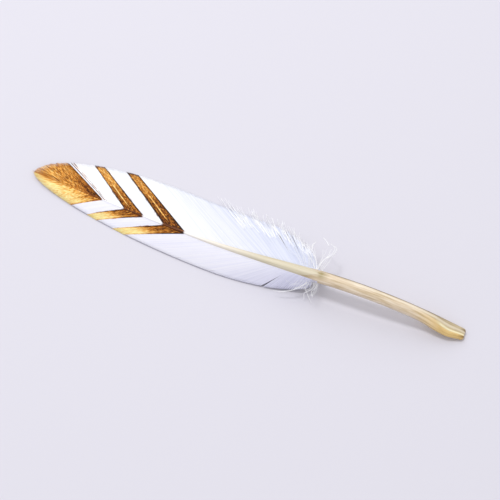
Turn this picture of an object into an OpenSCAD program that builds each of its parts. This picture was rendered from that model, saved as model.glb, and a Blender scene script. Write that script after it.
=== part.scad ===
// Quill pen: a natural goose feather with a gold-painted tip and two gold chevrons.
// +Z is up, the calamus (bare shaft) points along +X and the wide vane lies on the +Y side.
// The feather rests back-side up on the edges of its vanes and on the pinched end of its calamus.

/* [Shaft] */
// Length of the rachis, from the top of the calamus to the end of the vane
rachis_l = 120; // [110:1:130]
// Length of the round, hollow part of the calamus, along its curve
barrel_l = 44; // [36:1:52]
// Length of the pinched end of the calamus
pinch_l = 14; // [10:0.5:18]
// Outer diameter of the calamus barrel
barrel_d = 4.8; // [4:0.1:5.4]
// Wall thickness of the calamus
wall_t = 0.35; // [0.25:0.05:0.5]
// Radius of the downward curve of the calamus
barrel_bend_r = 127; // [115:1:160]
// Climb of the calamus where it meets the rachis, in degrees
junction_climb = 4.35; // [3.5:0.05:5.5]
// Height of the rachis above the table at the vane tip
tip_z = 1.7; // [1.5:0.1:2.2]
// Sideways slope of the outer half of the rachis
turn = 0.1; // [0:0.01:0.14]
// Distance from the calamus at which the rachis turns sideways
turn_at = 44.5; // [30:0.5:60]
// Length over which the rachis turns
turn_l = 14; // [8:1:24]

/* [Rachis section] */
// Width of the rachis at the vane tip
rachis_tip_w = 0.4; // [0.3:0.05:0.6]
// Height of the rachis at the vane tip
rachis_tip_h = 0.5; // [0.4:0.05:0.7]
// How fast the rachis narrows
width_taper = 3; // [1.6:0.1:3.6]
// How fast the rachis gets lower
height_taper = 1.6; // [1.2:0.1:2.4]
// Length of the pith inside the rachis
pith_l = 104; // [90:1:108]
// Depth of the groove along the underside, as a share of the rachis height
groove_share = 0.14; // [0:0.02:0.2]

/* [Pinched end] */
// Widest point of the pinched end
pinch_w = 6.2; // [5.4:0.1:7]
// Width at the very end
end_w = 4.8; // [3.8:0.1:5.4]
// Height at the very end
end_h = 2.3; // [2:0.1:2.8]
// Depth of the crease pressed into the back side
crease_depth = 0.75; // [0.4:0.05:0.9]

/* [Vanes] */
// Half-width of the wide vane (+Y)
wide_w = 19.2; // [16:0.1:21]
// Half-width of the narrow vane (-Y)
narrow_w = 9.05; // [8:0.05:10]
// Vane thickness
vane_t = 0.4; // [0.3:0.05:0.6]
// Clearance of the vane edges above the table where they rest
edge_gap = 0.03; // [0.02:0.01:0.1]
// Lift of the vane edges at the calamus
base_lift = 3; // [1:0.25:4]
// Lift of the vane edges at the tip
tip_lift = 1; // [0.5:0.1:1.4]

/* [Paint] */
// Start of the gold tip, measured along the rachis from the calamus
gold_tip_s = 91; // [86:0.5:96]
// Tip-side edge of the outer chevron
outer_far_s = 81.6; // [80:0.1:83]
// Calamus-side edge of the outer chevron
outer_near_s = 73.2; // [72:0.1:75]
// Tip-side edge of the inner chevron
inner_far_s = 64.6; // [62:0.1:66]
// Calamus-side edge of the inner chevron
inner_near_s = 55.3; // [52:0.1:57]
// How much the paint draws the outer ends of the painted barbs together
paint_pull = 0.1; // [0:0.01:0.15]

/* [Base] */
// Length of the loose lock at the foot of the narrow vane
lock_l = 12; // [10:1:16]
// Length of the loose fringe at the foot of the wide vane
fringe_l = 15; // [10:1:20]
// Number of dried pulp caps inside the calamus
cap_count = 7; // [4:1:9]
// Number of downy barbs on the wide side
wide_down_count = 6; // [3:1:8]
// Number of downy barbs on the narrow side
narrow_down_count = 5; // [3:1:8]
// Number of downy barbs in the afterfeather
after_down_count = 5; // [3:1:7]

/* [Hidden] */
$fn = 64;

WIDE = 1;
NARROW = -1;
barrel_r = barrel_d / 2;
vane_l = rachis_l + 1.5;        // the last barbs reach a little past the rachis
rachis_end = rachis_l - 1.5;
last_barb_s = rachis_l - 2;

// Calamus curve, in a plane with its origin at the top of the calamus: pitch in degrees,
// positive downwards, and x and z of the centre line at arc length s.
function cal_pitch(s) = -junction_climb + min(s, barrel_l) / barrel_bend_r * 180 / PI;
function cal_x(s) =
  barrel_bend_r * (sin(cal_pitch(s)) + sin(junction_climb))
  + max(0, s - barrel_l) * cos(cal_pitch(s));
function cal_drop(s) =
  barrel_bend_r * (cos(junction_climb) - cos(cal_pitch(s)))
  + max(0, s - barrel_l) * sin(cal_pitch(s));

calamus_l = barrel_l + pinch_l;
end_pitch = cal_pitch(calamus_l);
lip_l = 1;                       // the end rounds over this length
junction_z = cal_drop(calamus_l - lip_l) + end_h / 2 * cos(end_pitch);

// The origin is below the middle of the whole feather.
x_high = cal_x(calamus_l);
x_low = -vane_l;
y_high = wide_w + sweep_at(0.6 * rachis_l);
y_low = -narrow_w + sweep_at(0.33 * rachis_l);
origin = [-(x_high + x_low) / 2, -(y_high + y_low) / 2, 0];

function clamp01(x) = min(1, max(0, x));
function smooth(x) = let (c = clamp01(x)) c * c * (3 - 2 * c);
function mix(a, b, t) = a + (b - a) * t;
function quarter(u) = sqrt(1 - pow(1 - clamp01(u), 2));

// Rachis centre line at distance d from the calamus.
rise = (tip_z - junction_z + tan(junction_climb) * rachis_l) / pow(rachis_l, 2);
function turn_run(d) = d - turn_at + norm([d - turn_at, turn_l]);
function sweep_at(d) = turn / 2 * (turn_run(max(0, d)) - turn_run(0));
function shaft_z(d) = junction_z - tan(junction_climb) * d + rise * d * d;
function shaft_slope(d) = -tan(junction_climb) + 2 * rise * d;

// Rachis section: width, height and squareness.
function left_share(d) = clamp01(1 - d / rachis_l);
function rachis_w(d) = mix(rachis_tip_w, barrel_d, pow(left_share(d), width_taper));
function rachis_h(d) = mix(rachis_tip_h, barrel_d, pow(left_share(d), height_taper));
function section_power(d) = mix(0.72, 1, smooth(1 - d / 18));

sides = 20;
function signed_pow(v, p) = sign(v) * pow(abs(v), p);
function section(d, inset) = [
  for (i = [0 : sides - 1])
    let (
      a = 360 * i / sides,
      p = section_power(d),
      hw = rachis_w(d) / 2 - inset,
      hh = rachis_h(d) / 2 - inset,
      across = hw * signed_pow(cos(a), p),
      groove = sin(a) < 0 ? exp(-pow(across / (0.35 * hw), 2)) : 0,
      up = hh * signed_pow(sin(a), p) + groove * groove_share * 2 * hh * smooth(d / 12)
    )
    [across, up]
];
function shaft_ring(d, inset) =
  let (
    slope = shaft_slope(d),
    n = sqrt(1 + slope * slope),
    up = [slope / n, 0, 1 / n],
    centre = [-d, sweep_at(d), shaft_z(d)]
  )
  [for (q = section(d, inset)) centre + [0, q[0], 0] + up * q[1]];

// Vane outline: half-width at distance d, and the barbs that fill it. A barb leaves the rachis
// at station s and slants towards the tip; cot is its run along the shaft per unit outwards.
function side_w(side) = side == WIDE ? wide_w : narrow_w;
function half_w(side, d) =
  let (
    tip_run = 63,
    base_run = side == WIDE ? 29 : 42
  )
  side_w(side) * pow(quarter((vane_l - d) / tip_run) * quarter(d / base_run), 1.15);
// Near the tip the barbs lie ever closer to the shaft, so that they close the vane.
function paint_wave(s) =
  paint_pull * smooth((s - 46) / 6) * cos(360 * (s - inner_near_s) / (outer_near_s - inner_near_s));
function side_cot(side, s) =
  side == WIDE
  ? mix(0.65, 1.53, smooth(s / 30)) + 0.4 * smooth((s - 82) / 10)
  : mix(0.8, 2.75 - 0.027 * max(0, s - 55), smooth(s / 30));
function barb_cot(side, s) = side_cot(side, s) + paint_wave(s) + 7 * pow(clamp01((s - 98) / 20), 2);
root_gap = 0.02;
function root_y(d) = rachis_w(d) / 2 + root_gap;
function barb_d(side, s, y) = s + barb_cot(side, s) * (y - root_y(s));
function barb_end(side, s, low, high, steps) =
  steps == 0 ? low
  : let (mid = (low + high) / 2)
    mid < half_w(side, barb_d(side, s, mid))
    ? barb_end(side, s, mid, high, steps - 1)
    : barb_end(side, s, low, mid, steps - 1);

// Camber: both vanes slope down from the rachis to their edges, which rest on the table.
function root_z(d) = shaft_z(d) + 0.12 * rachis_h(d);
function edge_z(d) =
  edge_gap + vane_t / 2 + base_lift * pow(clamp01(1 - d / 28), 2)
  + tip_lift * pow(clamp01((d - 90) / 31), 1.5);
function vane_z(side, d, y) =
  let (
    u = clamp01((y - root_y(d)) / max(0.5, half_w(side, d) - root_y(d))),
    straight = side == WIDE ? 0.35 : 0.5
  )
  root_z(d) - (root_z(d) - edge_z(d)) * (straight * u + (1 - straight) * u * u);
function vane_point(side, d, y, lift) =
  [-d, sweep_at(d) + side * y, vane_z(side, d, y) + lift];

// A closed skin over a list of rings with the same number of points each.
function wall_faces(rings, n, first) = [
  for (k = [0 : rings - 2], i = [0 : n - 1])
    let (a = first + k * n + i, b = first + k * n + (i + 1) % n)
    each [[a, b, b + n], [a, b + n, a + n]]
];
function flip(faces) = [for (f = faces) [for (i = [len(f) - 1 : -1 : 0]) f[i]]];
function cap_face(n, first) = [for (i = [0 : n - 1]) first + i];
module skin(rings) {
  n = len(rings[0]);
  count = len(rings);
  polyhedron(
    points = [for (r = rings) each r],
    faces = concat(
      wall_faces(count, n, 0),
      flip([cap_face(n, 0)]),
      [cap_face(n, (count - 1) * n)]
    ),
    convexity = 6
  );
}
// A skin with a second skin inside it; they join at the first ring, and at the last one too
// when open_end is true.
module hollow_skin(outer, inner, open_end) {
  n = len(outer[0]);
  no = len(outer);
  ni = len(inner);
  base = no * n;
  outer_last = (no - 1) * n;
  inner_last = base + (ni - 1) * n;
  mouth = [
    for (i = [0 : n - 1])
      let (j = (i + 1) % n)
      each [[i, base + j, j], [i, base + i, base + j]]
  ];
  far_mouth = [
    for (i = [0 : n - 1])
      let (
        j = (i + 1) % n,
        oi = outer_last + i,
        oj = outer_last + j,
        ii = inner_last + i,
        ij = inner_last + j
      )
      each [[oi, oj, ij], [oi, ij, ii]]
  ];
  closed = concat([cap_face(n, outer_last)], flip([cap_face(n, inner_last)]));
  polyhedron(
    points = concat([for (r = outer) each r], [for (r = inner) each r]),
    faces = concat(
      wall_faces(no, n, 0), flip(wall_faces(ni, n, base)), mouth, open_end ? far_mouth : closed
    ),
    convexity = 8
  );
}

// The strip of vane between two barbs, at stations s0 and s1.
module vane_strip(side, s0, s1, across, along) {
  rows = [
    for (i = [0 : across])
      let (
        s = mix(s0, s1, i / across),
        y0 = root_y(s),
        y1 = max(y0 + 0.15, barb_end(side, s, y0, 1.2 * side_w(side), 18))
      )
      [for (j = [0 : along]) let (y = mix(y0, y1, j / along)) [barb_d(side, s, y), y]]
  ];
  n = 2 * (along + 1);
  rings = [
    for (row = rows)
      concat(
        [for (q = row) vane_point(side, q[0], q[1], vane_t / 2)],
        [for (j = [along : -1 : 0]) vane_point(side, row[j][0], row[j][1], -vane_t / 2)]
      )
  ];
  end_first = across * n;
  strip_caps = concat(sheet_cap(along, 0), flip(sheet_cap(along, end_first)));
  faces = concat(flip(wall_faces(across + 1, n, 0)), strip_caps);
  polyhedron(
    points = [for (r = rings) each r],
    faces = side == WIDE ? faces : flip(faces),
    convexity = 6
  );
}
function sheet_cap(along, first) = [
  for (j = [0 : along - 1])
    let (a = first + j, n = 2 * (along + 1), c = first + n - 2 - j)
    each [[a, a + 1, c], [a, c, c + 1]]
];

// Places children on the calamus centre line at arc length s, with +Z along the calamus.
module on_calamus(s) {
  translate([cal_x(s), 0, junction_z - cal_drop(s)])
    rotate([0, 90 + cal_pitch(s), 0])
      children();
}
// A ring swept along the round part of the calamus, from arc length s0 to s1.
module calamus_sweep(s0, s1) {
  p0 = cal_pitch(s0);
  p1 = cal_pitch(s1);
  translate([
    barrel_bend_r * sin(junction_climb), 0, junction_z - barrel_bend_r * cos(junction_climb)
  ])
    rotate([90, 0, 0])
      rotate([0, 0, 90 - p1])
        rotate_extrude(angle = p1 - p0, $fn = 256)
          translate([barrel_bend_r, 0])
            children();
}

module calamus_barrel() {
  color([0.88, 0.80, 0.64])
    translate(origin)
      calamus_sweep(0, barrel_l)
        difference() {
          circle(r = barrel_r);
          circle(r = barrel_r - wall_t);
        }
}

// Pinched end: half-width, half-height and crease depth at t from 0, the barrel, to 1, the end.
function pinch_hw(t) =
  mix(barrel_r, pinch_w / 2, smooth(t / 0.5)) + (end_w - pinch_w) / 2 * smooth((t - 0.5) / 0.5);
function pinch_hh(t) =
  mix(barrel_r, 1.08 * end_h / 2, smooth(t / 0.6)) - 0.08 * end_h / 2 * smooth((t - 0.6) / 0.4);
function crease_at(t) = crease_depth * smooth((t - 0.08) / 0.5);
function lip(t) =
  let (v = clamp01((t - 1) * pinch_l / lip_l + 1))
  1 - 0.42 * (1 - sqrt(1 - v * v));
pinch_shift = 0.85;              // the pinched end spreads mostly towards the narrow vane
pinch_sides = 32;
function pinch_ring(t, inset) =
  let (
    s = barrel_l + t * pinch_l,
    pitch = end_pitch,
    centre = [cal_x(s), -pinch_shift * (pinch_hw(t) - barrel_r), junction_z - cal_drop(s)],
    up = [sin(pitch), 0, cos(pitch)],
    hw = pinch_hw(t) * lip(t) - inset,
    hh = pinch_hh(t) * lip(t) - inset
  )
  [
    for (i = [0 : pinch_sides - 1])
      let (
        a = 360 * i / pinch_sides,
        across = hw * cos(a),
        dent = sin(a) > 0 ? crease_at(t) * exp(-pow(across / 0.75, 2)) : 0,
        height = hh * sin(a) - min(dent, 1.25 * hh * max(0, sin(a)))
      )
      centre + [0, across, 0] + up * height
  ];
pinch_steps = concat([for (k = [0 : 12]) 0.93 * k / 12], [0.96, 0.98, 0.993, 1]);

module calamus_pinched_end() {
  color([0.80, 0.69, 0.45])
    translate(origin)
      hollow_skin(
        [for (t = pinch_steps) pinch_ring(t, 0)],
        [for (t = pinch_steps) pinch_ring(t, wall_t)],
        true
      );
}

// Dried pulp: thin cups nested along the inside of the calamus on a fine thread.
cap_r = barrel_r - wall_t - 0.08;
cap_t = 0.12;
thread_r = 0.15;
module pulp_cap() {
  rotate_extrude()
    difference() {
      intersection() {
        circle(r = cap_r);
        translate([0, 0.25 * cap_r])
          square([cap_r, cap_r]);
      }
      circle(r = cap_r - cap_t);
    }
}
module pulp_caps() {
  first_s = 2.5;
  last_s = barrel_l - 4;
  color([0.93, 0.88, 0.74])
    translate(origin) {
      calamus_sweep(first_s, last_s)
        circle(r = thread_r);
      for (i = [0 : cap_count - 1])
        on_calamus(mix(first_s, last_s - cap_r, i / (cap_count - 1)))
          pulp_cap();
    }
}

cortex_base_t = 0.45;
cortex_tip_t = 0.12;
function cortex_t(d) = mix(cortex_base_t, cortex_tip_t, clamp01(d / pith_l));
shaft_steps = 26;
function shaft_rings(length, inner) = [
  for (k = [0 : shaft_steps])
    let (d = length * k / shaft_steps)
    shaft_ring(d, inner ? cortex_t(d) : 0)
];

module rachis_cortex() {
  color([0.93, 0.88, 0.72])
    translate(origin)
      hollow_skin(shaft_rings(rachis_end, false), shaft_rings(pith_l, true), false);
}

module rachis_pith() {
  color([0.98, 0.96, 0.90])
    translate(origin)
      skin(shaft_rings(pith_l, true));
}

module white_strip(side, s0, s1, across) {
  color([0.95, 0.96, 1.0])
    translate(origin)
      vane_strip(side, s0, s1, across, 7);
}
module gold_strip(side, s0, s1, across) {
  color([0.80, 0.56, 0.20])
    translate(origin)
      vane_strip(side, s0, s1, across, 7);
}

module wide_tip_gold() { gold_strip(WIDE, gold_tip_s, last_barb_s, 10); }
module wide_outer_white() { white_strip(WIDE, outer_far_s, gold_tip_s, 4); }
module wide_outer_chevron() { gold_strip(WIDE, outer_near_s, outer_far_s, 4); }
module wide_inner_white() { white_strip(WIDE, inner_far_s, outer_near_s, 4); }
module wide_inner_chevron() { gold_strip(WIDE, inner_near_s, inner_far_s, 4); }
module wide_main_vane() { white_strip(WIDE, fringe_l, inner_near_s, 12); }
module wide_fringe() { white_strip(WIDE, 0, fringe_l, 7); }
module narrow_tip_gold() { gold_strip(NARROW, gold_tip_s, last_barb_s, 10); }
module narrow_outer_white() { white_strip(NARROW, outer_far_s, gold_tip_s, 4); }
module narrow_outer_chevron() { gold_strip(NARROW, outer_near_s, outer_far_s, 4); }
module narrow_inner_white() { white_strip(NARROW, inner_far_s, outer_near_s, 4); }
module narrow_inner_chevron() { gold_strip(NARROW, inner_near_s, inner_far_s, 4); }
module narrow_main_vane() { white_strip(NARROW, lock_l, inner_near_s, 12); }
module narrow_lock() { white_strip(NARROW, 0, lock_l, 7); }

// A downy barb: a thin tapered strand that leaves the shaft at angle out (0 towards the calamus,
// 90 straight out), climbs by rise and curls sideways by curl.
down_sides = 6;
down_steps = 10;
down_r = 0.16;
function down_path(root, side, out, length, climb, curl) = [
  for (k = [0 : down_steps])
    let (
      t = k / down_steps,
      heading = out + curl * t,
      along = length * t
    )
    root + [
      along * cos(heading), side * along * sin(heading), climb * sin(90 * t) - 0.4 * climb * t * t
    ]
];
module strand(path) {
  last = len(path) - 1;
  skin([
    for (k = [0 : last])
      let (
        dir = path[min(last, k + 1)] - path[max(0, k - 1)],
        flat = [-dir[1], dir[0], 0] / norm([dir[0], dir[1], 0]),
        up = cross(dir, flat) / norm(cross(dir, flat)),
        r = down_r * (1 - 0.7 * k / last)
      )
      [
        for (i = [0 : down_sides - 1])
          let (a = -360 * i / down_sides)
          path[k] + flat * (r * cos(a)) + up * (r * sin(a))
      ]
  ]);
}
module down_tuft(side, count, first_out, last_out, length, climb, root_up) {
  color([0.97, 0.97, 1.0])
    translate(origin)
      for (i = [0 : count - 1]) {
        share = count > 1 ? i / (count - 1) : 0;
        d = 0.6 + 1.4 * i;
        root = [-d, sweep_at(d) + side * (root_y(d) + down_r), shaft_z(d) + root_up];
        strand(down_path(
          root, side, mix(first_out, last_out, share), length * (1 - 0.25 * share), climb, 30
        ));
      }
}

module wide_down() { down_tuft(WIDE, wide_down_count, 55, 112, 15, 1.4, 1.0); }
module narrow_down() { down_tuft(NARROW, narrow_down_count, 60, 112, 6.5, -2.2, 0.0); }
module afterfeather() {
  color([0.97, 0.97, 1.0])
    translate(origin)
      for (i = [0 : after_down_count - 1]) {
        d = 1 + 0.9 * i;
        side = i % 2 == 0 ? WIDE : NARROW;
        root = [-d, side * (0.2 + 0.15 * i), shaft_z(d) - rachis_h(d) / 2 - down_r - 0.02];
        strand(down_path(root, side, 130 + 9 * i, 9, -2.4, 14));
      }
}

calamus_barrel();
calamus_pinched_end();
pulp_caps();
rachis_cortex();
rachis_pith();
wide_tip_gold();
wide_outer_white();
wide_outer_chevron();
wide_inner_white();
wide_inner_chevron();
wide_main_vane();
wide_fringe();
narrow_tip_gold();
narrow_outer_white();
narrow_outer_chevron();
narrow_inner_white();
narrow_inner_chevron();
narrow_main_vane();
narrow_lock();
wide_down();
narrow_down();
afterfeather();
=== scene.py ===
"""Quill pen: real barbs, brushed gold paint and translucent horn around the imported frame.

Shapes are worked out in millimetres in the feather's own frame: x = -d, where d is the distance
from the top of the calamus towards the tip, and side * y is the distance out from the shaft.
Skin.build() turns them into metres in the row frame.
"""
import math
import random

import bpy
import numpy as np
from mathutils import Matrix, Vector


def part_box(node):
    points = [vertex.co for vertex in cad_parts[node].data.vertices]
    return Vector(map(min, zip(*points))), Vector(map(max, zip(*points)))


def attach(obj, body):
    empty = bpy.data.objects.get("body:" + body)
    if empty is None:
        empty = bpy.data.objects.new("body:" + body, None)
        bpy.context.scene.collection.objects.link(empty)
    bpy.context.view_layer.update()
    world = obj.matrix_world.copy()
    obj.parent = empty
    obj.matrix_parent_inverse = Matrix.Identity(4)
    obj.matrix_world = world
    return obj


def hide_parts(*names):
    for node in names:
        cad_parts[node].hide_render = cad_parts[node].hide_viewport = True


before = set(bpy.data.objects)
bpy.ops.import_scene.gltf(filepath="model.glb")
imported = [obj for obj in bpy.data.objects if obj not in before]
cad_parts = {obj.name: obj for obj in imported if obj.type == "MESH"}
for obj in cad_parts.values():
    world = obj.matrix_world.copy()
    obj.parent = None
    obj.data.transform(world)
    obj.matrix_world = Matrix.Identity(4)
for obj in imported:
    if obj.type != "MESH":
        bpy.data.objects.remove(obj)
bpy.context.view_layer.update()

MM = 0.001
WIDE, NARROW = 1, -1

# ---------------------------------------------------------------------------------------------
# The feather's form, in millimetres: the same driving sizes as the CAD model
# ---------------------------------------------------------------------------------------------
RACHIS_L = 120.0
VANE_L = 121.5
LAST_BARB = 121.0
BARREL_L = 44.0
PINCH_L = 14.0
WALL = 0.35
PINCH_R, END_R, END_HALF_H = 3.1, 2.4, 1.15
PINCH_SHIFT = 0.85
LIP_SHRINK = 0.42
CREASE = 0.75
TIP_THINNING, THIN_FROM, THIN_RUN = 0.6, 112, 9
SPREAD_FROM, SPREAD_RUN = -0.4, 0.9
BEND_R = 127.0
CLIMB = math.radians(4.35)
TIP_Z = 1.7
TURN, TURN_AT, TURN_L = 0.1, 44.5, 14.0
HALF_WIDTH = {WIDE: 19.2, NARROW: 9.05}
BASE_RUN = {WIDE: 29.0, NARROW: 42.0}
TIP_RUN = 63.0
VANE_T = 0.4
EDGE_GAP = 0.03
BASE_LIFT, TIP_LIFT = 3.0, 1.0
STRAIGHT_SHARE = {WIDE: 0.35, NARROW: 0.5}
PAINT_PULL = 0.1
INNER_CHEVRON = (55.3, 64.6)
OUTER_CHEVRON = (73.2, 81.6)
TIP_GOLD = (91.0, LAST_BARB)
FRINGE_L, LOCK_L = 15.0, 12.0
# Slope of the barbs: at the calamus and along the vane, then their turn towards the very tip
WIDE_COT, WIDE_TIP_COT = (0.65, 1.53), 0.4
NARROW_COT, NARROW_COT_FALL = (0.8, 2.75), 0.027
COT_RUN = 30.0
TIP_FAN = 7.0

barrel_lo, barrel_hi = (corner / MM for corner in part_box("calamus_barrel"))
BARREL_R = (barrel_hi.y - barrel_lo.y) / 2
ORIGIN_X = barrel_lo.x + BARREL_R * math.sin(CLIMB)
ORIGIN_Y = (barrel_hi.y + barrel_lo.y) / 2
JUNCTION_Z = barrel_hi.z - BARREL_R - BEND_R * (1 - math.cos(CLIMB))
RISE = (TIP_Z - JUNCTION_Z + math.tan(CLIMB) * RACHIS_L) / RACHIS_L**2


def clamp01(x):
    return np.clip(x, 0.0, 1.0)


def smooth(x):
    c = clamp01(x)
    return c * c * (3 - 2 * c)


def mix(a, b, t):
    return a + (b - a) * t


def quarter(u):
    return np.sqrt(1 - (1 - clamp01(u)) ** 2)


def bell(x, width):
    return np.exp(-((x / width) ** 2))


def turn_run(d):
    return d - TURN_AT + np.hypot(d - TURN_AT, TURN_L)


def sweep_at(d):
    return TURN / 2 * (turn_run(np.maximum(d, 0.0)) - turn_run(0.0))


def shaft_z(d):
    return JUNCTION_Z - math.tan(CLIMB) * d + RISE * d * d


def thinned(d):
    """The last barbs hide most of the rachis, so its very tip is drawn finer than in the CAD."""
    return 1 - TIP_THINNING * smooth((d - THIN_FROM) / THIN_RUN)


def rachis_w(d):
    return mix(0.4, 2 * BARREL_R, clamp01(1 - d / RACHIS_L) ** 3) * thinned(d)


def rachis_h(d):
    return mix(0.5, 2 * BARREL_R, clamp01(1 - d / RACHIS_L) ** 1.6) * thinned(d)


def half_width(side, d):
    rise = quarter((VANE_L - d) / TIP_RUN) * quarter(d / BASE_RUN[side])
    return HALF_WIDTH[side] * rise**1.15


def barb_cot(side, s):
    """How far a barb runs towards the tip for each millimetre outwards."""
    grown = smooth(s / COT_RUN)
    if side == WIDE:
        plain = mix(WIDE_COT[0], WIDE_COT[1], grown) + WIDE_TIP_COT * smooth((s - 82) / 10)
    else:
        plain = mix(NARROW_COT[0], NARROW_COT[1] - NARROW_COT_FALL * np.maximum(0, s - 55), grown)
    period = OUTER_CHEVRON[0] - INNER_CHEVRON[0]
    wave = np.cos(2 * math.pi * (s - INNER_CHEVRON[0]) / period)
    pulled = PAINT_PULL * smooth((s - 46) / 6) * wave
    return plain + pulled + TIP_FAN * np.maximum(0, (s - 98) / 20) ** 2


def root_y(d):
    return rachis_w(d) / 2 + 0.02


def barb_d(side, s, y):
    return s + barb_cot(side, s) * (y - root_y(s))


def barb_end(side, s):
    """Distance out from the shaft at which the barb from station s meets the vane's outline."""
    low = root_y(s)
    high = np.full_like(low, 1.2 * HALF_WIDTH[side])
    for _ in range(20):
        middle = (low + high) / 2
        inside = middle < half_width(side, barb_d(side, s, middle))
        low = np.where(inside, middle, low)
        high = np.where(inside, high, middle)
    return np.maximum(low, root_y(s) + 0.15)


def edge_z(d):
    rest = EDGE_GAP + VANE_T / 2
    return rest + BASE_LIFT * clamp01(1 - d / 28) ** 2 + TIP_LIFT * clamp01((d - 90) / 31) ** 1.5


def vane_z(side, d, y):
    top = shaft_z(d) + 0.12 * rachis_h(d)
    straight = STRAIGHT_SHARE[side]
    u = clamp01((y - root_y(d)) / np.maximum(0.5, half_width(side, d) - root_y(d)))
    return top - (top - edge_z(d)) * (straight * u + (1 - straight) * u * u)


# ---------------------------------------------------------------------------------------------
# Mesh building
# ---------------------------------------------------------------------------------------------
class Skin:
    """Gathers closed tubes and strips, each a grid of rings, into one mesh with point values.

    The bake map gives every tube its own row, with its length across the map.
    """

    def __init__(self, rows):
        self.rows = rows
        self.points, self.quads, self.caps, self.uvs, self.cap_uvs = [], [], [], [], []
        self.values = {}
        self.count = 0
        self.row = 0

    def tube(self, rings, values=None, closed=True):
        """rings: array (ring, corner, xyz). values: name -> array that fits (ring, corner)."""
        n_rings, n, _ = rings.shape
        base = self.count
        self.points.append(rings.reshape(-1, 3))
        r, c = np.meshgrid(np.arange(n_rings - 1), np.arange(n), indexing="ij")
        r, c = r.ravel(), c.ravel()
        nxt = (c + 1) % n
        quads = np.stack([r * n + c, r * n + nxt, (r + 1) * n + nxt, (r + 1) * n + c], axis=1)
        self.quads.append(quads + base)
        across = np.stack([r, r, r + 1, r + 1], axis=1) / (n_rings - 1)
        up = (self.row + 0.04 + 0.92 * np.stack([c, c + 1, c + 1, c], axis=1) / n) / self.rows
        self.uvs.append(np.stack([across, up], axis=2).reshape(-1, 2))
        if closed:
            for ring, flip in ((0, True), (n_rings - 1, False)):
                ids = base + ring * n + np.arange(n)
                self.caps.append(ids[::-1] if flip else ids)
                place_uv = [ring / (n_rings - 1), (self.row + 0.5) / self.rows]
                self.cap_uvs.append(np.full((n, 2), place_uv))
        for name, value in (values or {}).items():
            self.values.setdefault(name, []).append(np.broadcast_to(value, (n_rings, n)).ravel())
        self.count += n_rings * n
        self.row += 1

    def build(self, name, material):
        points = np.concatenate(self.points)
        points = (points + [ORIGIN_X, ORIGIN_Y, 0.0]) * MM
        faces = np.concatenate(self.quads).tolist() + [c.tolist() for c in self.caps]
        mesh = bpy.data.meshes.new(name)
        mesh.from_pydata(points.tolist(), [], faces)
        for key, parts in self.values.items():
            layer = mesh.attributes.new(key, "FLOAT", "POINT")
            layer.data.foreach_set("value", np.concatenate(parts).astype(np.float32))
        uv = mesh.uv_layers.new(name="OFBake")
        flat = np.concatenate(self.uvs + self.cap_uvs)
        uv.data.foreach_set("uv", flat.ravel().astype(np.float32))
        mesh.polygons.foreach_set("use_smooth", [True] * len(mesh.polygons))
        mesh.materials.append(material)
        mesh.update()
        piece = bpy.data.objects.new(name, mesh)
        bpy.context.scene.collection.objects.link(piece)
        return piece


def place(piece, slot, *nodes):
    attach(piece, "root")
    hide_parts(*nodes)


# ---------------------------------------------------------------------------------------------
# Materials
# ---------------------------------------------------------------------------------------------
def srgb(red, green, blue):
    """A colour given in display values 0..255, as linear RGBA."""

    def linear(c):
        return c / 3294.6 if c <= 10.31 else ((c / 255 + 0.055) / 1.055) ** 2.4

    return (linear(red), linear(green), linear(blue), 1.0)


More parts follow.
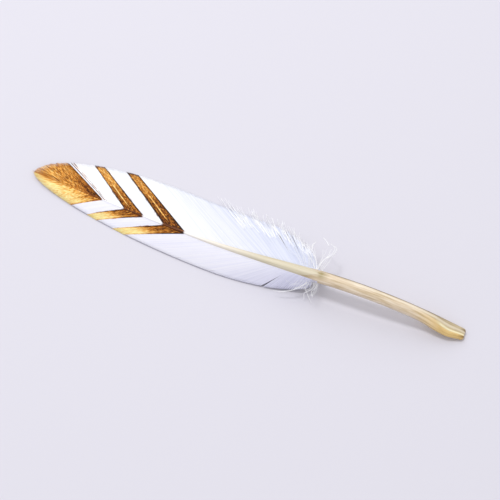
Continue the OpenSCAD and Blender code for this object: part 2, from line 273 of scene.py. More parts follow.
class Nodes:
    """A small helper that builds one Principled material node by node."""

    def __init__(self, name):
        self.material = bpy.data.materials.new(name)
        self.material.use_nodes = True
        self.tree = self.material.node_tree
        self.shader = self.tree.nodes["Principled BSDF"]

    def add(self, kind, **settings):
        node = self.tree.nodes.new(kind)
        for key, value in settings.items():
            setattr(node, key, value)
        return node

    def feed(self, socket, value):
        if isinstance(value, bpy.types.NodeSocket):
            self.tree.links.new(value, socket)
        else:
            socket.default_value = value

    def value(self, name):
        """A point value that the mesh carries."""
        return self.add("ShaderNodeAttribute", attribute_name=name).outputs["Fac"]

    def math(self, operation, a, b=0.0, clamp=False):
        node = self.add("ShaderNodeMath", operation=operation, use_clamp=clamp)
        self.feed(node.inputs[0], a)
        self.feed(node.inputs[1], b)
        return node.outputs[0]

    def vector(self, x, y, z=0.0):
        node = self.add("ShaderNodeCombineXYZ")
        for socket, value in zip(node.inputs, (x, y, z)):
            self.feed(socket, value)
        return node.outputs[0]

    def place_mm(self):
        """The point's place in the row frame, in millimetres: x, y, z sockets and the vector."""
        coords = self.add("ShaderNodeTexCoord").outputs["Object"]
        scaled = self.add("ShaderNodeVectorMath", operation="SCALE")
        self.feed(scaled.inputs[0], coords)
        scaled.inputs["Scale"].default_value = 1 / MM
        parts = self.add("ShaderNodeSeparateXYZ")
        self.feed(parts.inputs[0], scaled.outputs[0])
        return (*parts.outputs[:3], scaled.outputs[0])

    def noise(self, vector, scale, detail=3.0, rough=0.55):
        node = self.add("ShaderNodeTexNoise")
        self.feed(node.inputs["Vector"], vector)
        node.inputs["Scale"].default_value = scale
        node.inputs["Detail"].default_value = detail
        node.inputs["Roughness"].default_value = rough
        return node.outputs["Fac"]

    def ramp(self, value, *stops):
        """stops: (position, colour) pairs."""
        node = self.add("ShaderNodeValToRGB")
        band = node.color_ramp
        while len(band.elements) < len(stops):
            band.elements.new(0.5)
        for element, (position, colour) in zip(band.elements, stops):
            element.position = position
            element.color = colour
        self.feed(node.inputs[0], value)
        return node.outputs["Color"]

    def span(self, value, low, high, out_low=0.0, out_high=1.0):
        node = self.add("ShaderNodeMapRange")
        for socket, number in zip(node.inputs, (value, low, high, out_low, out_high)):
            self.feed(socket, number)
        return node.outputs[0]

    def blend(self, share, a, b):
        node = self.add("ShaderNodeMix", data_type="RGBA")
        self.feed(node.inputs["Factor"], share)
        self.feed(node.inputs[6], a)
        self.feed(node.inputs[7], b)
        return node.outputs[2]

    def relief(self, height, distance):
        node = self.add("ShaderNodeBump")
        node.inputs["Strength"].default_value = 1.0
        node.inputs["Distance"].default_value = distance * MM
        self.feed(node.inputs["Height"], height)
        self.feed(self.shader.inputs["Normal"], node.outputs[0])

    def set(self, **inputs):
        for key, value in inputs.items():
            self.feed(self.shader.inputs[key.replace("_", " ")], value)


GOLD_STOPS = (
    (0.0, srgb(34, 12, 1)),
    (0.22, srgb(104, 52, 8)),
    (0.45, srgb(194, 112, 26)),
    (0.68, srgb(246, 184, 80)),
    (1.0, srgb(255, 242, 176)),
)


def barb_streaks(n, along_scale, across_scale, detail=3.0):
    """Noise drawn out along the barbs."""
    along = n.math("MULTIPLY", n.value("along"), along_scale)
    across = n.math("MULTIPLY", n.value("station"), across_scale)
    return n.noise(n.vector(along, across), 1.0, detail)


def gold_colour(n, tone):
    """Brushed paint: broad strokes, coarse grain and scattered dark scratches along the barbs.

    The grain fades where the paint is brightest, because it is thickest there.
    """
    broad = n.math("MULTIPLY", barb_streaks(n, 0.16, 0.9), 0.7)
    fine = n.math("MULTIPLY", barb_streaks(n, 1.5, 3.0, 5.0), 2.6)
    scratch = n.math("MULTIPLY", n.span(barb_streaks(n, 0.5, 3.4), 0.42, 0.32), 0.42)
    grain = n.math("SUBTRACT", n.math("ADD", broad, fine), n.math("ADD", scratch, 1.58))
    wave = n.math("MULTIPLY", grain, n.span(tone, 0.5, 0.9, 1.0, 0.55))
    return n.ramp(n.math("ADD", tone, wave, clamp=True), *GOLD_STOPS)


def barb_relief(n, depth):
    """Ramus and barbules: fine cords across each barb."""
    barbules = n.add("ShaderNodeTexWave", wave_type="BANDS", bands_direction="X")
    along = n.math("ADD", n.value("along"), n.math("MULTIPLY", n.value("station"), 0.9))
    n.feed(barbules.inputs["Vector"], n.vector(along, n.value("station")))
    barbules.inputs["Scale"].default_value = 2.2
    barbules.inputs["Distortion"].default_value = 1.2
    n.relief(barbules.outputs["Fac"], depth)


# Painted shadow colour for the dark line along the vane's edge.
EDGE_SHADOW_GREY = srgb(146, 142, 164)


def white_barb_material(name, tips, shaded_roots, fade, edge_shade):
    """tips and roots: (shaded, lit) whites at the tip end of the vane and at its foot.

    The foot whites are darker and bluer: painted shade at the foot of the vane. fade gives the two
    stations between which roots turns into tips. edge_shade is how much the very edge of the vane
    darkens: a painted shadow line along the edge.
    """
    n = Nodes(name)
    streak = n.math("MULTIPLY", barb_streaks(n, 0.10, 1.1), 0.7)
    shade = n.math("ADD", streak, n.math("MULTIPLY", n.value("shade"), 0.3))
    tipward = n.ramp(shade, (0.2, tips[0]), (0.6, tips[1]))
    # Painted shade: the whites darken and turn bluer towards the foot of the vane.
    shaded_baseward = n.ramp(shade, (0.2, shaded_roots[0]), (0.6, shaded_roots[1]))
    white = n.blend(n.span(n.value("station"), *fade), shaded_baseward, tipward)
    # Painted shadow: the outermost ends of the barbs turn grey, drawing a dark line along the vane's
    # edge.
    rim = n.math("MULTIPLY", n.span(n.value("out"), 0.965, 0.985), edge_shade)
    white = n.blend(rim, white, EDGE_SHADOW_GREY)
    edge = n.math("ADD", n.value("paint"), barb_streaks(n, 0.5, 3.0))
    paint = n.span(edge, 1.02, 1.08)
    n.set(Base_Color=n.blend(paint, white, gold_colour(n, n.value("tone"))))
    n.set(Metallic=n.math("MULTIPLY", paint, 0.4), Roughness=n.span(paint, 0, 1, 0.62, 0.4))
    n.set(Sheen_Weight=0.15, Sheen_Roughness=0.4, Specular_IOR_Level=0.25)
    barb_relief(n, 0.012)
    return n.material


def gold_barb_material():
    n = Nodes("gold_paint")
    n.set(Base_Color=gold_colour(n, n.value("tone")), Metallic=0.45, Specular_IOR_Level=0.3)
    n.set(Roughness=n.span(barb_streaks(n, 1.2, 3.0), 0.3, 0.7, 0.26, 0.5))
    n.relief(barb_streaks(n, 0.8, 3.0), 0.08)
    return n.material


FIBRE_STRETCH = 0.06
FIBRE_RING = 2.2


def shaft_fibre(n):
    """Fine lengthwise fibres around the shaft, and the two values that place them."""
    reach, around = n.value("reach"), n.value("around")
    along = n.math("MULTIPLY", reach, FIBRE_STRETCH)
    side = n.math("MULTIPLY", n.math("SINE", around), FIBRE_RING)
    top = n.math("MULTIPLY", n.math("COSINE", around), FIBRE_RING)
    return reach, around, n.noise(n.vector(along, side, top), 1.6, 5.0)


def away(n, value, centre):
    return n.math("ABSOLUTE", n.math("SUBTRACT", value, centre))


def rachis_material():
    """Cream horn that pales towards the tip, with the paint bands brushed across it."""
    n = Nodes("rachis_horn")
    reach, _, fibre = shaft_fibre(n)
    cream = n.ramp(fibre, (0.3, srgb(196, 185, 156)), (0.7, srgb(220, 211, 190)))
    light = n.blend(n.span(reach, -22, -46), cream, srgb(240, 233, 224))
    pale = n.blend(n.span(reach, -46, -62), light, srgb(248, 248, 252))
    tone = n.math("ADD", 0.20, n.math("MULTIPLY", n.math("SUBTRACT", fibre, 0.5), 1.6))
    tone = n.math("ADD", tone, n.span(reach, -92, -108, 0.0, 0.26))
    n.set(Base_Color=n.blend(n.value("paint"), pale, n.ramp(tone, *GOLD_STOPS)))
    n.set(Metallic=n.math("MULTIPLY", n.value("paint"), 0.4))
    n.set(Roughness=n.span(fibre, 0.2, 0.8, 0.36, 0.5), Specular_IOR_Level=0.4)
    n.relief(fibre, 0.04)
    return n.material


# Places on the calamus: the angle around it, with the top at pi / 2, or the reach along it.
FAR_FLANK, NEAR_FLANK = 0.66, 3.45
HIGHLIGHT_AT = 1.3
CREASE_AT = 1.74
MOUTH_OFF_TOP = 0.62
OLIVE_SPOT_AT = 0.4
# Of these colours, the flank brown is painted shade, the mouth brown painted shadow, and the highlight
# and crease creams painted highlights.
OLIVE = srgb(146, 128, 58)
SEAM_BROWN = srgb(150, 130, 84)
HIGHLIGHT_CREAM = srgb(255, 244, 222)
FLANK_SHADE_BROWN = srgb(100, 85, 60)
MOUTH_SHADOW_BROWN = srgb(104, 76, 40)
CREASE_GLINT_CREAM = srgb(255, 246, 208)


def horn_material():
    """Translucent calamus: milky near the rachis, ambered towards the pinched end.

    An olive spot marks the point of the rachis. A stripe of painted shade runs along each flank,
    a painted highlight runs beside the far one and down the crease, and the far side of the pinched
    end and its two openings are painted darker as shade.
    """
    n = Nodes("calamus_horn")
    reach, around, fibre = shaft_fibre(n)
    off_top = away(n, around, math.pi / 2)
    milky = n.ramp(
        fibre,
        (0.36, srgb(212, 190, 154)),
        (0.50, srgb(235, 215, 187)),
        (0.64, srgb(250, 236, 216)),
    )
    amber = n.ramp(fibre, (0.36, srgb(208, 172, 104)), (0.62, srgb(244, 212, 148)))
    # Painted shade: the far side of the pinched end, beyond the crease, is set greyer and darker than
    # the amber horn of its near side.
    shaded_smoke = n.ramp(fibre, (0.36, srgb(176, 154, 112)), (0.62, srgb(224, 206, 170)))
    pressed = n.blend(n.span(around, 1.35, 1.75), shaded_smoke, amber)
    horn = n.blend(n.span(reach, 36, 48), milky, pressed)
    spot_reach = n.span(away(n, reach, OLIVE_SPOT_AT), 3.4, 0.2)
    spot = n.math("MULTIPLY", spot_reach, n.span(off_top, 0.95, 0.25))
    horn = n.blend(n.math("MULTIPLY", spot, 0.8), horn, OLIVE)
    seam = n.span(reach, -1, -6, 0, 0.4)
    horn = n.blend(seam, horn, SEAM_BROWN)
    # Painted shade: a dark stripe along each flank, where the tube's outline darkens.
    far = n.span(away(n, around, FAR_FLANK), 0.40, 0.18)
    near = n.span(away(n, around, NEAR_FLANK), 0.32, 0.14)
    flank_shade = n.math("ADD", n.math("MULTIPLY", far, 0.8), n.math("MULTIPLY", near, 0.35), clamp=True)
    # Painted highlight: a cream streak along the top of the far flank.
    painted_highlight = n.span(away(n, around, HIGHLIGHT_AT), 0.3, 0.05)
    horn = n.blend(n.math("MULTIPLY", painted_highlight, n.span(reach, 6, 14, 0, 0.6)), horn, HIGHLIGHT_CREAM)
    flank_shade = n.math("MULTIPLY", flank_shade, n.span(reach, 43, 50, 1, 0.3))
    flank_shaded = n.blend(n.math("MULTIPLY", flank_shade, n.span(reach, 0, 6)), horn, FLANK_SHADE_BROWN)
    # Painted shadow: the two openings at the end of the tube are dark spots on the horn.
    mouth_sides = n.span(away(n, off_top, MOUTH_OFF_TOP), 0.3, 0.08)
    mouth_shadows = n.math("MULTIPLY", mouth_sides, n.span(reach, 55.4, 57.4))
    flank_shaded = n.blend(n.math("MULTIPLY", mouth_shadows, 0.75), flank_shaded, MOUTH_SHADOW_BROWN)
    # Painted highlight: a bright line down the crease of the pinched end, where its near wall faces the
    # key light.
    crease_glint = n.span(away(n, around, CREASE_AT), 0.26, 0.08)
    crease = n.math("MULTIPLY", crease_glint, n.span(reach, 45, 48))
    n.set(Base_Color=n.blend(crease, flank_shaded, CREASE_GLINT_CREAM))
    n.set(Roughness=n.span(fibre, 0.2, 0.8, 0.22, 0.4))
    n.set(Alpha=0.82, IOR=1.54)
    n.relief(fibre, 0.03)
    return n.material


def down_material():
    n = Nodes("down_white")
    tint = n.noise(n.place_mm()[3], 0.7, 3.0)
    n.set(Base_Color=n.ramp(tint, (0.3, srgb(248, 248, 255)), (0.7, srgb(255, 255, 255))))
    n.set(Roughness=0.7, Sheen_Weight=0.3, Sheen_Roughness=0.5, Specular_IOR_Level=0.2)
    return n.material


def pith_material():
    n = Nodes("pith")
    cells = n.noise(n.place_mm()[3], 2.4, 4.0)
    n.set(Base_Color=n.ramp(cells, (0.3, srgb(236, 230, 214)), (0.7, srgb(252, 249, 240))))
    n.set(Roughness=0.85)
    n.relief(cells, 0.08)
    return n.material


def pulp_material():
    n = Nodes("pulp_membrane")
    wrinkle = n.noise(n.place_mm()[3], 1.6, 5.0)
    n.set(Base_Color=n.ramp(wrinkle, (0.3, srgb(176, 150, 96)), (0.7, srgb(226, 208, 160))))
    n.set(Roughness=0.6)
    n.relief(wrinkle, 0.05)
    return n.material


def floor_material():
    n = Nodes("floor_pale")
    n.set(Base_Color=srgb(214, 212, 222), Roughness=0.8, Specular_IOR_Level=0.2)
    return n.material


# ---------------------------------------------------------------------------------------------
# Barbs
# ---------------------------------------------------------------------------------------------
BARB_PITCH = 0.5
BARB_STEPS = 26
TAPER_L = 1.4
ROOT_TUCK = 0.12
CLUMP_SPACING = 1.4
LENGTH_JITTER, TIP_JITTER = 0.004, 0.016
STRAY_TONE = 0.22
# Section of a barb: offset along the shaft in pitches, and height in millimetres. The ramus is
# the ridge, and the edge towards the calamus tucks under the next barb.
BARB_SECTION = (
    (-0.62, -0.03), (-0.30, 0.01), (-0.05, 0.04), (0.20, 0.015),
    (0.50, 0.0), (0.42, -0.07), (-0.55, -0.09),
)
# Partings between barbs: station, lean of the barbs beside it, how far along the shaft that lean
# reaches, and the share of the barb's length at which it starts.
SPLITS = {
    WIDE: (
        (17.5, 0.14, 2.0, 0.3), (20.6, 0.12, 1.6, 0.4),
        (26.5, 0.08, 2.5, 0.5), (38.0, 0.06, 2.0, 0.6),
    ),
    NARROW: ((12.0, 0.45, 2.5, 0.1), (23.0, 0.10, 2.0, 0.4), (34.0, 0.08, 2.0, 0.5)),
}


def split_lean(side, s, q):
    """How far the barbs on both sides of each parting lean away from it, along the shaft."""
    lean = np.zeros(np.broadcast(s, q).shape)
    for at, size, reach, start in SPLITS[side]:
        away = np.sign(s - at) * np.exp(-np.abs(s - at) / reach)
        lean = lean + size * away * clamp01((q - start) / (1 - start)) ** 1.5
    return lean


def band_lift(band):
    """The chevron nearer the tip was painted a little lighter."""
    return {"outer_arm": 0.0, "inner_arm": -0.12}[band]


def barb_tone(side, band, q, share):
    """Lightness of the gold at each point: 0 is burnt brown, 1 is bright yellow.

    share runs from 0 at the band's edge towards the calamus to 1 at its edge towards the tip.
    """
    near_shaft = 1 - smooth(q * 1.3)
    if band == "tip":
        burnt = 0.42 * bell(share, 0.035) + 0.26 * bell(share - 0.13, 0.09) * near_shaft
        if side == WIDE:
            return 0.41 - burnt + 0.05 * smooth((share - 0.25) / 0.4) - 0.06 * near_shaft
        # Painted highlight: the narrow side of the tip brightens towards the vane's edge.
        return 0.60 - burnt + 0.26 * smooth((q - 0.1) / 0.6)
    rim = 0.95 * bell(share - 1, 0.05) + 0.9 * bell(share, 0.075)
    if side == WIDE:
        bright = 0.65 * bell(share - 0.58, 0.045) * smooth((0.62 - q) / 0.08) * smooth((q - 0.1) / 0.08)
        corner = 0.55 * smooth((q - 0.95) / 0.05) * (0.4 + share)
        outward = 0.20 * smooth((q - 0.45) / 0.25)
        return 0.37 - 0.12 * near_shaft - rim + outward + bright - corner + band_lift(band)
    # Painted highlight: the gold on the narrow arms brightens towards the vane's edge.
    return 0.40 + 0.56 * smooth((q - 0.25) / 0.5) - rim * (1.1 - 0.8 * q) - 0.15 * near_shaft


def clump_plan(span, rng, spacing):
    """Centres of the loose clumps of barbs: station, sway along the shaft, lift and reach."""
    centres = []
    at = span[0]
    while at < span[1]:
        at += spacing * rng.uniform(0.6, 1.4)
        centres.append((at, rng.uniform(-0.9, 0.9), rng.uniform(-0.2, 0.9), rng.uniform(-0.10, 0.05)))
    return centres


def mirrored(value):
    return value[:, ::-1] if np.ndim(value) == 2 and value.shape[1] > 1 else value


def barb_group(name, side, span, material, rng, paint=None, loose=0.0, strays=()):
    """A piece of vane: one closed strip for each barb between two stations."""
    first, last = span
    count = max(2, round((last - first) / BARB_PITCH))
    pitch = (last - first) / count
    stations = first + pitch * (np.arange(count) + 0.5)
    skin = Skin(count)
    clumps = clump_plan(span, rng, CLUMP_SPACING) if loose else None
    q = np.linspace(0, 1, BARB_STEPS + 1)[:, None]
    offset = np.array([o for o, _ in BARB_SECTION])[None, :]
    height = np.array([h for _, h in BARB_SECTION])[None, :]
    for s in stations:
        shade = rng.random()
        own = np.minimum(s + offset * pitch, VANE_L - 0.2)
        start = root_y(own) - ROOT_TUCK
        ragged = TIP_JITTER if paint == "tip" and side == WIDE else LENGTH_JITTER
        length = (barb_end(side, own) - start) * (1 + rng.uniform(-ragged, ragged))
        if loose:
            centre, sway, lift, reach = min(clumps, key=lambda clump: abs(clump[0] - s))
            ease = loose * smooth((last + 2 - s) / 5)
            length = length * (1 + ease * (reach - rng.uniform(0, 0.07)))
        y = start + length * q
        tip = smooth((q - 1) * length / TAPER_L + 1)
        own = mix(own, s, (0.35 + 0.3 * loose) * tip)
        d = barb_d(side, own, y) + split_lean(side, s, q)
        z = vane_z(side, d, y) + height * (1 - 0.45 * q) + 0.012 * rng.uniform(-1, 1) * q
        if loose:
            d = d + ease * ((centre - s) * 0.45 + sway + 0.25 * rng.uniform(-1, 1)) * q**1.7
            z = z + ease * (lift + 0.3 * rng.uniform(-1, 1)) * q**2
        rings = np.stack([-d, sweep_at(d) + side * y, z], axis=2)
        share = (own - first) / (last - first)
        values = {"along": y, "station": own, "shade": shade, "out": q + 0 * own}
        if paint:
            values["tone"] = barb_tone(side, paint, q, share) + 0.05 * rng.uniform(-1, 1)
            values["paint"] = 1.0
        else:
            values["tone"] = STRAY_TONE
            caught = [size for at, size in strays if abs(s - at) <= pitch / 2]
            values["paint"] = max(caught, default=0.0)
        if side == NARROW:
            rings = rings[:, ::-1]
            values = {key: mirrored(value) for key, value in values.items()}
        skin.tube(rings, values)
    return skin.build(name, material)


# Single barbs of the white bands that caught some gold: station, and how much of it.
BLEED_GAP = 0.25
BLEED = [
    (edge + step, 0.5)
    for band in (INNER_CHEVRON, OUTER_CHEVRON)
    for edge, step in zip(band, (-BLEED_GAP, BLEED_GAP))
]
TIP_STRAYS = [(90.0, 0.64), (89.0, 0.56)]


def make_vanes(whites, gold):
    rng = random.Random(7)
    plan = (
        ("tip_gold", TIP_GOLD, "tip"),
        ("outer_white", (OUTER_CHEVRON[1], TIP_GOLD[0]), None),
        ("outer_chevron", OUTER_CHEVRON, "outer_arm"),
        ("inner_white", (INNER_CHEVRON[1], OUTER_CHEVRON[0]), None),
        ("inner_chevron", INNER_CHEVRON, "inner_arm"),
    )
    for side, word in ((WIDE, "wide"), (NARROW, "narrow")):
        white = whites[side]
        strays = list(BLEED)
        if side == WIDE:
            strays += TIP_STRAYS
        for part, span, paint in plan:
            node = f"{word}_{part}"
            material = gold if paint else white
            piece = barb_group(f"barbs_{node}", side, span, material, rng, paint, strays=strays)
            place(piece, "gold_paint" if paint else "barb_white", node)
        loose_l = FRINGE_L if side == WIDE else LOCK_L
        piece = barb_group(f"barbs_{word}_main_vane", side, (loose_l, INNER_CHEVRON[0]), white, rng)
        place(piece, "barb_white", f"{word}_main_vane")
    fringe = barb_group("barbs_wide_fringe", WIDE, (0.3, FRINGE_L), whites[WIDE], rng, loose=0.45)
    place(fringe, "barb_white", "wide_fringe")
    lock = barb_group("barbs_narrow_lock", NARROW, (0.3, LOCK_L), whites[NARROW], rng)
    place(lock, "barb_white", "narrow_lock")


# ---------------------------------------------------------------------------------------------
# Shaft
# ---------------------------------------------------------------------------------------------
SHAFT_SIDES = 48


def cal_pitch(s):
    return -CLIMB + np.minimum(s, BARREL_L) / BEND_R


def cal_x(s):
    bend = BEND_R * (np.sin(cal_pitch(s)) + math.sin(CLIMB))
    return bend + np.maximum(0, s - BARREL_L) * np.cos(cal_pitch(s))


def cal_drop(s):
    bend = BEND_R * (math.cos(CLIMB) - np.cos(cal_pitch(s)))
    return bend + np.maximum(0, s - BARREL_L) * np.sin(cal_pitch(s))


def rachis_surface(d, a, inset):
    """Four-sided towards the tip, round at the calamus, with a groove along the underside."""
    power = mix(0.72, 1.0, smooth(1 - d / 18))
    half_w, half_h = rachis_w(d) / 2 - inset, rachis_h(d) / 2 - inset
    across = half_w * np.sign(np.cos(a)) * np.abs(np.cos(a)) ** power
    groove = np.where(np.sin(a) < 0, bell(across, 0.35 * half_w), 0.0) * 0.28 * half_h * smooth(d / 12)
    up = half_h * np.sign(np.sin(a)) * np.abs(np.sin(a)) ** power + groove
    slope = -math.tan(CLIMB) + 2 * RISE * d
    norm = np.sqrt(1 + slope * slope)
    return np.stack([-d + up * slope / norm, sweep_at(d) + across, shaft_z(d) + up / norm], axis=-1)


def calamus_surface(s, a, inset):
    """Round barrel that spreads, flattens and creases at its free end."""
    t = (s - BARREL_L) / PINCH_L
    lip = 1 - LIP_SHRINK * (1 - np.sqrt(1 - clamp01((t - 1) * PINCH_L + 1) ** 2))
    spread = smooth((t - SPREAD_FROM) / SPREAD_RUN)
    half_w = mix(BARREL_R, PINCH_R, spread) + (END_R - PINCH_R) * smooth((t - 0.5) / 0.5)
    flat = smooth(t / 0.6)
    half_h = mix(BARREL_R, 1.08 * END_HALF_H, flat) - 0.08 * END_HALF_H * smooth((t - 0.6) / 0.4)
    shift = -PINCH_SHIFT * (half_w - BARREL_R)
    half_w, half_h = half_w * lip - inset, half_h * lip - inset
    across = half_w * np.cos(a)
    dent = np.where(np.sin(a) > 0, CREASE * smooth((t - 0.08) / 0.5) * bell(across, 0.75), 0.0)
    up = half_h * np.sin(a) - np.minimum(dent, 1.25 * half_h * np.maximum(0, np.sin(a)))
    pitch = cal_pitch(s)
    x = cal_x(s) + up * np.sin(pitch)
    return np.stack([x, shift + across, JUNCTION_Z - cal_drop(s) + up * np.cos(pitch)], axis=-1)


def shaft_surface(reach, a, inset=0.0):
    """A point of the whole shaft; reach is negative along the rachis, positive along the calamus."""
    on_rachis = rachis_surface(np.maximum(0, -reach), a, inset)
    on_calamus = calamus_surface(np.maximum(0, reach), a, inset)
    return np.where((reach < 0)[..., None], on_rachis, on_calamus)


def junction_edge(a):
    """Where horn gives way to cream around the shaft: a tongue that points down the calamus."""
    off_top = np.abs(np.arctan2(np.cos(a), np.sin(a)))
    return -0.4 - 5.2 * np.minimum(off_top, 1.5)


def make_rachis(material):
    a = np.linspace(0, 2 * math.pi, SHAFT_SIDES, endpoint=False)[None, :]
    share = np.linspace(0, 1, 220)[:, None]
    edge = junction_edge(a)
    reach = edge + (-(VANE_L - 0.3) - edge) * (0.35 * share + 0.65 * share**1.3)
    paint = np.zeros_like(reach)
    for low, high in (INNER_CHEVRON, OUTER_CHEVRON, (TIP_GOLD[0], VANE_L)):
        paint = paint + smooth((-reach - low + 0.3) / 0.4) * smooth((high + 0.2 + reach) / 0.4)
    values = {"reach": reach, "around": a + 0 * reach, "paint": paint}
    skin = Skin(1)
    skin.tube(shaft_surface(reach, a)[:, ::-1], {key: value[:, ::-1] for key, value in values.items()})
    piece = skin.build("rachis_shaft", material)
    place(piece, "rachis_horn", "rachis_cortex")


def make_calamus(material):
    a = np.linspace(0, 2 * math.pi, SHAFT_SIDES, endpoint=False)[None, :]
    share = np.linspace(0, 1, 110)[:, None]
    edge = junction_edge(a)
    barrel = edge + (BARREL_L - edge) * share
    steps = np.concatenate([np.linspace(0.015, 0.93, 60), np.linspace(0.94, 1.0, 12)])
    pinch = BARREL_L + PINCH_L * steps
    reach = np.concatenate([barrel, pinch[:, None] + 0 * a])
    outer = shaft_surface(reach, a)
    inner = shaft_surface(reach, a, WALL)[::-1]
    rings = np.concatenate([outer, inner, outer[:1]])
    along = np.concatenate([reach, reach[::-1], reach[:1]])
    skin = Skin(1)
    skin.tube(rings, {"reach": along, "around": a + 0 * along}, closed=False)
    piece = skin.build("calamus_skin", material)
    place(piece, "calamus_horn", "calamus_barrel", "calamus_pinched_end")


# ---------------------------------------------------------------------------------------------
# Down
# ---------------------------------------------------------------------------------------------
BARBULES, WISP_BARBULES, HAIR_BARBULES = 30, 46, 10


def strand_rings(path, radius, sides, tip_share):
    """A round tapering tube along a path, as an array of rings."""
    path = np.asarray(path)
    tangent = np.gradient(path, axis=0)
    tangent /= np.linalg.norm(tangent, axis=1, keepdims=True)
    reference = np.array([0.13, 0.21, 0.97])
    flat = np.cross(tangent, reference)
    flat /= np.linalg.norm(flat, axis=1, keepdims=True)
    up = np.cross(flat, tangent)
    a = np.linspace(0, 2 * math.pi, sides, endpoint=False)
    r = radius * np.linspace(1, tip_share, len(path))[:, None, None]
    ring = flat[:, None, :] * np.cos(a)[None, :, None] + up[:, None, :] * np.sin(a)[None, :, None]
    return path[:, None, :] + r * ring


def curve_through(points, steps):
    """A smooth path through given points (Catmull-Rom)."""
    p = np.asarray(points, dtype=float)
    p = np.vstack([2 * p[0] - p[1], p, 2 * p[-1] - p[-2]])
    out = []
    spans = len(p) - 3
    for u in np.linspace(0, spans, steps + 1):
        i = min(int(u), spans - 1)
        t = u - i
        a, b, c, e = p[i : i + 4]
        square = 2 * a - 5 * b + 4 * c - e
        cube = 3 * b - a - 3 * c + e
        out.append(0.5 * (2 * b + (c - a) * t + square * t * t + cube * t**3))
    return np.array(out)


def plume(skin, path, rng, radius=0.07, barbules=BARBULES, reach=1.3):
    """One downy barb with fine barbules on both sides."""
    skin.tube(strand_rings(path, radius, 5, 0.35))
    tangent = np.gradient(path, axis=0)
    tangent /= np.linalg.norm(tangent, axis=1, keepdims=True)
    for k in range(barbules):
        share = (k + 0.5 + 0.4 * rng.uniform(-1, 1)) / barbules
        at = share * (len(path) - 1)
        i = min(int(at), len(path) - 2)
        root = mix(path[i], path[i + 1], at - i)
        forward = tangent[i]
        out = np.cross(forward, [0, 0, 1.0])
        out *= (1 if k % 2 else -1) / max(1e-6, np.linalg.norm(out))
        size = reach * (1 - 0.6 * share) * rng.uniform(0.6, 1.15)
        droop = rng.uniform(-0.35, 0.45)
        t = np.linspace(0, 1, 5)[:, None]
        fall = np.array([0, 0, droop]) * t * t
        route = root + size * (out * t * 0.8 + forward * (0.45 * t + 0.35 * t * t) + fall)
        skin.tube(strand_rings(route, 0.028, 3, 0.3))
    return skin


def stray_hair(skin, side, s, rng):
    """The free end of one loose barb, curling past the outline of the vane."""
    s = np.array([s])
    t = np.linspace(0, 1, 14)
    end = barb_end(side, s)
    y = end * mix(rng.uniform(0.55, 0.85), 1 + rng.uniform(0.04, 0.17), t)
    rest_y = np.minimum(y, end)
    lean, wave = rng.uniform(-1.8, 1.6), rng.uniform(-0.4, 0.4)
    d = barb_d(side, s, y) + lean * t**2 + wave * np.sin(5 * t)
    z = vane_z(side, barb_d(side, s, rest_y), rest_y) + 0.1 + rng.uniform(0, 1.3) * t**2
    path = np.stack([-d, sweep_at(d) + side * y, z], axis=1)
    plume(skin, path, rng, radius=rng.uniform(0.10, 0.17), barbules=HAIR_BARBULES, reach=0.8)


def fan_path(root, heading, length, climb, curl, rng, steps=22):
    """A free strand that leaves its root at a heading and curls as it goes."""
    t = np.linspace(0, 1, steps + 1)
    bend = np.radians(heading + curl * t**1.4 + 8 * rng.uniform(-1, 1) * np.sin(3 * t))
    step = length / steps
    x = np.concatenate([[0], np.cumsum(np.cos(bend[:-1]) * step)])
    y = np.concatenate([[0], np.cumsum(np.sin(bend[:-1]) * step)])
    z = climb * np.sin(math.pi * 0.75 * t)
    return np.asarray(root) + np.stack([x, y, z], axis=1)


# Free strands at the foot of the vanes: (distance towards the tip, distance out, height).
WIDE_WISPS = (
    (
        (1.9, 2.0, 9.6), (1.3, 5.0, 10.6), (0.2, 7.4, 11.0),
        (-1.2, 9.6, 11.1), (-1.4, 12.2, 11.0), (0.6, 13.6, 10.8),
    ),
    ((2.0, 2.0, 9.5), (3.4, 5.2, 9.8), (5.6, 8.4, 9.4), (8.0, 10.4, 9.0), (10.6, 11.4, 8.6)),
    ((0.4, 7.0, 10.9), (-1.0, 8.4, 11.2), (-2.2, 10.6, 11.2), (-1.8, 12.6, 11.0), (-0.4, 13.0, 10.9)),
    ((1.0, 12.6, 10.9), (2.6, 14.2, 10.6), (4.2, 15.4, 10.2)),
    ((6.4, 8.8, 9.4), (7.0, 11.2, 9.6), (6.2, 13.0, 9.8)),
    ((2.8, 2.2, 9.4), (5.0, 5.2, 9.0), (8.0, 7.6, 8.6), (11.0, 8.8, 8.2)),
)
NARROW_WISPS = (
    (
        (1.4, 1.9, 7.8), (3.2, 2.6, 5.8), (4.4, 3.8, 4.2),
        (3.2, 5.2, 3.0), (1.8, 6.6, 2.0), (0.6, 7.6, 1.2),
    ),
    ((2.2, 2.0, 7.6), (1.4, 3.0, 5.4), (2.6, 4.4, 3.8), (4.2, 5.6, 2.6), (3.6, 7.2, 1.4)),
    (
        (3.0, 2.0, 7.6), (4.8, 3.4, 5.8), (7.2, 5.6, 4.8),
        (9.6, 7.2, 4.2), (12.6, 8.3, 3.6), (15.4, 8.9, 3.2),
    ),
    ((3.6, 2.0, 7.4), (5.6, 4.0, 5.4), (8.0, 6.2, 4.4), (10.8, 7.8, 3.8), (13.4, 8.7, 3.2)),
    ((1.0, 2.0, 7.8), (0.4, 3.4, 6.2), (1.6, 4.8, 4.6), (0.6, 6.2, 3.2)),
)
# Piece, node, side, number of barbs, headings and lengths of the first and last barb, climb,
# curl, free strands, loose hairs.
TUFTS = (
    ("down_wide", "wide_down", WIDE, 14, (62, 128), (10, 9), 0.8, 30, WIDE_WISPS, 80),
    ("down_narrow", "narrow_down", NARROW, 9, (-70, -130), (5, 5), -2.4, -50, NARROW_WISPS, 0),
    ("down_afterfeather", "afterfeather", NARROW, 9, (-215, -145), (8, 6), -2.0, 25, (), 0),
)


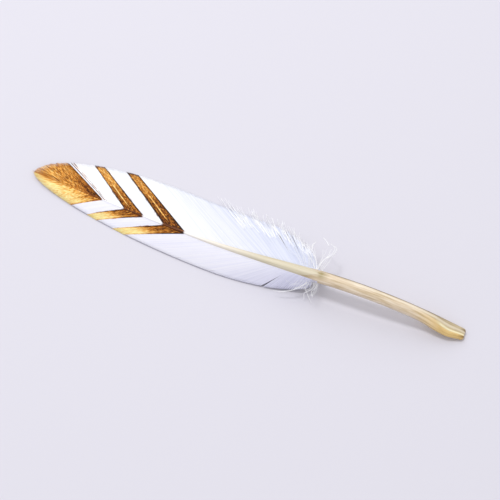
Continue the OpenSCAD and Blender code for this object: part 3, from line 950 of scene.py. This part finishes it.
def make_down(material):
    rng = random.Random(23)
    for name, node, side, count, headings, lengths, climb, curl, wisps, hairs in TUFTS:
        skin = Skin(
            count * (1 + BARBULES) + len(wisps) * (1 + WISP_BARBULES) + hairs * (1 + HAIR_BARBULES)
        )
        for i in range(count):
            share = i / (count - 1)
            d = 0.4 + 7.5 * share
            under = node == "afterfeather"
            out = 0.0 if under else root_y(d) - 0.1
            low = -0.5 * rachis_h(d) if under else 0.15 * side
            root = [-d, sweep_at(d) + side * out, shaft_z(d) + low]
            heading = mix(headings[0], headings[1], share) + 9 * rng.uniform(-1, 1)
            length = mix(lengths[0], lengths[1], share) * rng.uniform(0.8, 1.15)
            rise = climb * rng.uniform(0.7, 1.2)
            path = fan_path(root, heading, length, rise, curl * rng.uniform(0.4, 1.4), rng)
            plume(skin, path, rng)
        for _ in range(hairs):
            stray_hair(skin, side, rng.uniform(0.5, 22), rng)
        for wisp in wisps:
            path = curve_through([(-d, side * y, z) for d, y, z in wisp], 30)
            plume(skin, path, rng, radius=0.16, barbules=WISP_BARBULES, reach=0.9)
        piece = skin.build(name, material)
        place(piece, "down_white", node)


# ---------------------------------------------------------------------------------------------
# Stage
# ---------------------------------------------------------------------------------------------
AZIMUTH, ELEVATION = math.radians(20.6), math.radians(62.4)
DISTANCE = 0.560
TARGET = Vector((0.00282, -0.00287, 0.004))
LENS, SENSOR = 106.06, 36.0
FLOOR_HALF = 1.5
# Name, place, diameter and power of each softbox.
SOFTBOXES = (
    ("softbox_key", (-0.32, 0.17, 1.2), 0.24, 5.6),
    ("softbox_back", (-0.45, 0.75, 0.7), 0.9, 2.6),
)
ROOM_LIGHT = 0.74


def make_camera():
    back = Vector((
        math.sin(AZIMUTH) * math.cos(ELEVATION),
        -math.cos(AZIMUTH) * math.cos(ELEVATION),
        math.sin(ELEVATION),
    ))
    data = bpy.data.cameras.new("camera")
    data.lens = LENS
    data.sensor_width = SENSOR
    data.clip_start = 0.01
    camera = bpy.data.objects.new("camera", data)
    camera.location = TARGET + DISTANCE * back
    camera.rotation_euler = back.to_track_quat("Z", "Y").to_euler()
    bpy.context.scene.collection.objects.link(camera)
    bpy.context.scene.camera = camera


def area_light(name, place_at, size, power):
    data = bpy.data.lights.new(name, "AREA")
    data.shape = "DISK"
    data.size = size
    data.energy = power
    lamp = bpy.data.objects.new(name, data)
    lamp.location = place_at
    lamp.rotation_euler = Vector(place_at).to_track_quat("Z", "Y").to_euler()
    bpy.context.scene.collection.objects.link(lamp)


def make_stage():
    mesh = bpy.data.meshes.new("floor")
    half = FLOOR_HALF
    corners = [(-half, -half, 0), (half, -half, 0), (half, half, 0), (-half, half, 0)]
    mesh.from_pydata(corners, [], [(0, 1, 2, 3)])
    mesh.materials.append(floor_material())
    floor = bpy.data.objects.new("floor", mesh)
    bpy.context.scene.collection.objects.link(floor)
    for softbox in SOFTBOXES:
        area_light(*softbox)
    world = bpy.data.worlds.new("studio")
    world.use_nodes = True
    room = world.node_tree.nodes["Background"]
    room.inputs["Color"].default_value = (1.0, 1.0, 1.0, 1.0)
    room.inputs["Strength"].default_value = ROOM_LIGHT
    bpy.context.scene.world = world
    bpy.context.scene.view_settings.view_transform = "Standard"


# Painted shade: the narrow vane slopes away from the key light, so its whites are set darker and more
# lavender than the wide vane's, and only it gets the painted shadow line at its edge.
whites = {
    WIDE: white_barb_material(
        "barb_white_wide",
        (srgb(233, 237, 248), srgb(250, 250, 254)),
        (srgb(200, 205, 228), srgb(220, 224, 242)),
        fade=(8, 52),
        edge_shade=0.0,
    ),
    NARROW: white_barb_material(
        "barb_white_narrow_shaded",
        (srgb(234, 234, 251), srgb(245, 244, 254)),
        (srgb(210, 210, 234), srgb(225, 225, 247)),
        fade=(9, 25),
        edge_shade=0.8,
    ),
}
make_vanes(whites, gold_barb_material())
make_rachis(rachis_material())
make_calamus(horn_material())
make_down(down_material())
for node, material in (("rachis_pith", pith_material()), ("pulp_caps", pulp_material())):
    body = bpy.data.objects[node]
    body.data.materials.clear()
    body.data.materials.append(material)
make_camera()
make_stage()
